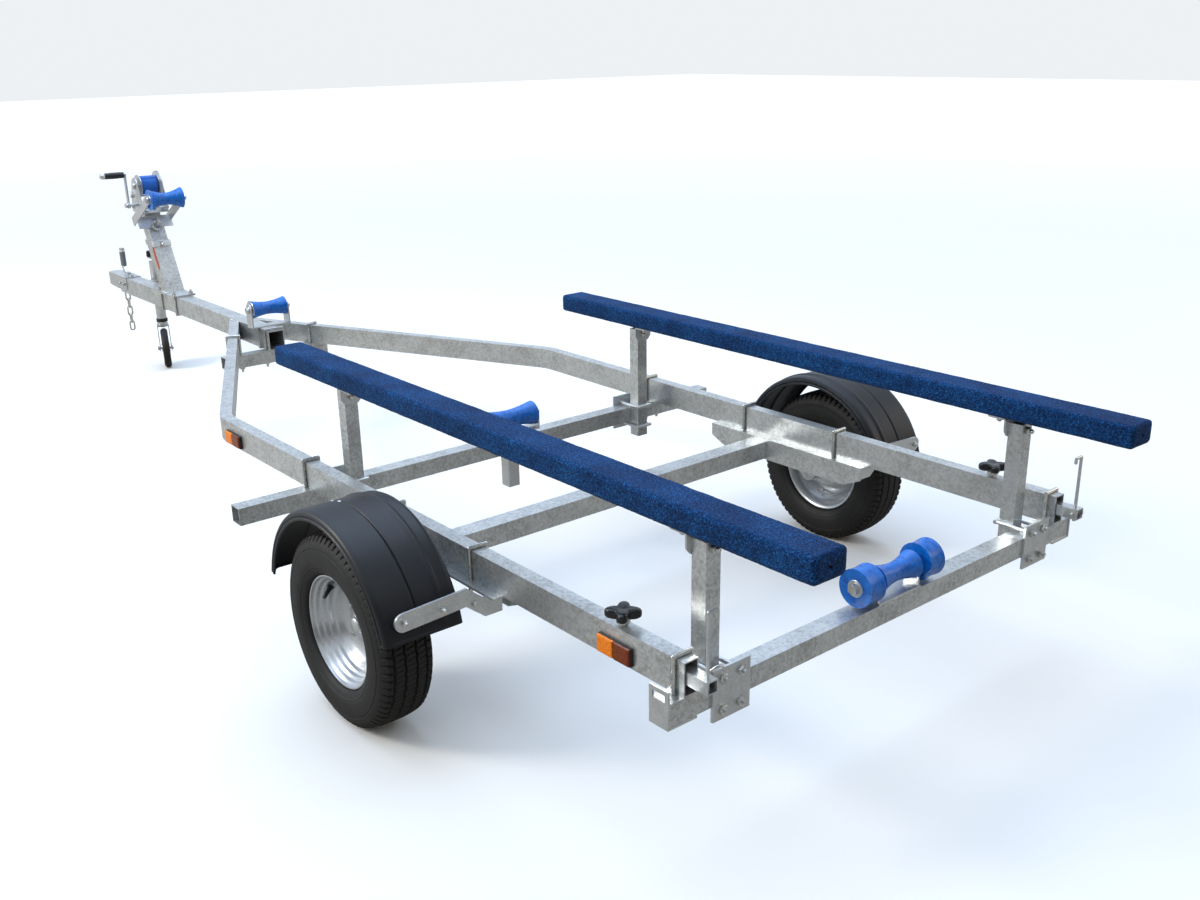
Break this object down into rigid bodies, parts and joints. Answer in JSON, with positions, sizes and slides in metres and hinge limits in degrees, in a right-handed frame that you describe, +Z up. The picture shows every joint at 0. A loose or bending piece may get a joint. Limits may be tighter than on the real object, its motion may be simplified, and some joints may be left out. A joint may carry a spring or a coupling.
{
  "type": "boat trailer",
  "caption": "Light unbraked boat trailer with galvanised frame, carpeted bunks, blue keel rollers, winch post with crank and bow roller, and a jockey wheel at the coupling.",
  "frame": {"origin": "on the ground, at the centre of the trailer's bounding box", "axes": "+X towards the coupling, +Y to the trailer's left, +Z up"},
  "size_m": [5.32, 1.907, 1.0127],
  "materials": {
    "galvanised_steel": "hot-dip galvanised steel, satin with a faint crystal pattern",
    "zinc_steel": "zinc-plated pressed steel, satin",
    "mudguard_plastic": "slate black moulded plastic, satin",
    "carpet": "blue carpet over a plank, matt and fuzzy",
    "grip_plastic": "grey moulded grip",
    "wheel_rubber": "solid black rubber, matt",
    "amber_lens": "amber reflector lens, glossy",
    "knob_plastic": "black moulded plastic",
    "roller_plastic": "bright blue polyurethane, soft gloss",
    "strap_webbing": "bright blue woven webbing",
    "rim_paint": "silver paint, satin",
    "tyre_rubber": "black rubber, matt"
  },
  "bodies": {
    "chassis": {"drawbar": "galvanised_steel", "side_rails": "galvanised_steel", "cross_beams": "galvanised_steel", "axle_beam": "galvanised_steel", "axle_brackets": "galvanised_steel", "suspension_arms": "galvanised_steel", "mudguards": "mudguard_plastic", "mudguard_stays": "zinc_steel", "frame_u_bolts": "zinc_steel", "bunks": "carpet", "bunk_posts": "galvanised_steel", "bunk_brackets": "zinc_steel", "post_clamps": "zinc_steel", "roller_brackets": "zinc_steel", "winch_post": "galvanised_steel", "winch_mast": "galvanised_steel", "winch_frame": "zinc_steel", "bow_roller_arms": "zinc_steel", "winch_hook": "zinc_steel", "coupling_body": "zinc_steel", "coupling_handle": "grip_plastic", "safety_chain": "zinc_steel", "jockey_clamp": "zinc_steel", "side_markers": "amber_lens", "tie_down_plates": "zinc_steel", "light_arm_knobs": "knob_plastic"},
    "wheel_left": {"wheel_rim_left": "rim_paint", "wheel_hub_left": "zinc_steel", "tyre_left": "tyre_rubber"},
    "wheel_right": {"wheel_rim_right": "rim_paint", "wheel_hub_right": "zinc_steel", "tyre_right": "tyre_rubber"},
    "front_roller_body": {"front_keel_roller": "roller_plastic"},
    "middle_roller_body": {"middle_keel_roller": "roller_plastic"},
    "rear_roller_body": {"rear_keel_roller": "roller_plastic"},
    "bow_roller_body": {"bow_roller": "roller_plastic"},
    "drum_body": {"winch_drum": "zinc_steel", "winch_strap": "strap_webbing"},
    "crank_body": {"winch_crank": "zinc_steel"},
    "jockey_tube_body": {"jockey_tube": "zinc_steel"},
    "jockey_leg_body": {"jockey_leg": "zinc_steel"},
    "jockey_fork_body": {"jockey_fork": "zinc_steel"},
    "jockey_wheel_body": {"jockey_wheel": "wheel_rubber"},
    "light_arm_left_body": {"light_arm_left": "zinc_steel"},
    "light_arm_right_body": {"light_arm_right": "zinc_steel"}
  },
  "joints": [
    {"name": "left_wheel_spin", "type": "hinge", "parent": "chassis", "child": "wheel_left", "pos_m": [-1.5, 0.868, 0.243], "axis": [0, 1, 0], "continuous": true},
    {"name": "right_wheel_spin", "type": "hinge", "parent": "chassis", "child": "wheel_right", "pos_m": [-1.5, -0.868, 0.243], "axis": [0, 1, 0], "continuous": true},
    {"name": "front_keel_roller_spin", "type": "hinge", "parent": "chassis", "child": "front_roller_body", "pos_m": [0.785, 0, 0.538], "axis": [0, 1, 0], "continuous": true},
    {"name": "middle_keel_roller_spin", "type": "hinge", "parent": "chassis", "child": "middle_roller_body", "pos_m": [-0.915, 0, 0.446], "axis": [0, 1, 0], "continuous": true},
    {"name": "rear_keel_roller_spin", "type": "hinge", "parent": "chassis", "child": "rear_roller_body", "pos_m": [-2.395, 0, 0.422], "axis": [0, 1, 0], "continuous": true},
    {"name": "bow_roller_spin", "type": "hinge", "parent": "chassis", "child": "bow_roller_body", "pos_m": [1.777, 0, 0.897], "axis": [0, 1, 0], "continuous": true},
    {"name": "winch_drum_spin", "type": "hinge", "parent": "chassis", "child": "drum_body", "pos_m": [1.985, 0, 0.944], "axis": [0, 1, 0], "continuous": true},
    {"name": "winch_crank_spin", "type": "hinge", "parent": "chassis", "child": "crank_body", "pos_m": [1.973, 0, 0.85925], "axis": [0, 1, 0], "continuous": true},
    {"name": "jockey_tube_lift", "type": "slide", "parent": "chassis", "child": "jockey_tube_body", "axis": [0, 0, 1], "range_m": [0, 0.13]},
    {"name": "jockey_leg_wind", "type": "slide", "parent": "jockey_tube_body", "child": "jockey_leg_body", "axis": [0, 0, 1], "range_m": [-0.16, 0]},
    {"name": "jockey_fork_swivel", "type": "hinge", "parent": "jockey_leg_body", "child": "jockey_fork_body", "pos_m": [2.28, -0.081, 0.1], "axis": [0, 0, 1], "continuous": true},
    {"name": "jockey_wheel_spin", "type": "hinge", "parent": "jockey_fork_body", "child": "jockey_wheel_body", "pos_m": [2.22327, -0.06147, 0.1], "axis": [0.3256, 0.9455, 0], "continuous": true},
    {"name": "left_light_arm_slide", "type": "slide", "parent": "chassis", "child": "light_arm_left_body", "axis": [1, 0, 0], "range_m": [-0.2, 0.03]},
    {"name": "right_light_arm_slide", "type": "slide", "parent": "chassis", "child": "light_arm_right_body", "axis": [1, 0, 0], "range_m": [-0.2, 0.03]}
  ],
  "couplings": [
    {"joint": "winch_drum_spin", "follows": "winch_crank_spin", "ratio": -0.39344}
  ]
}
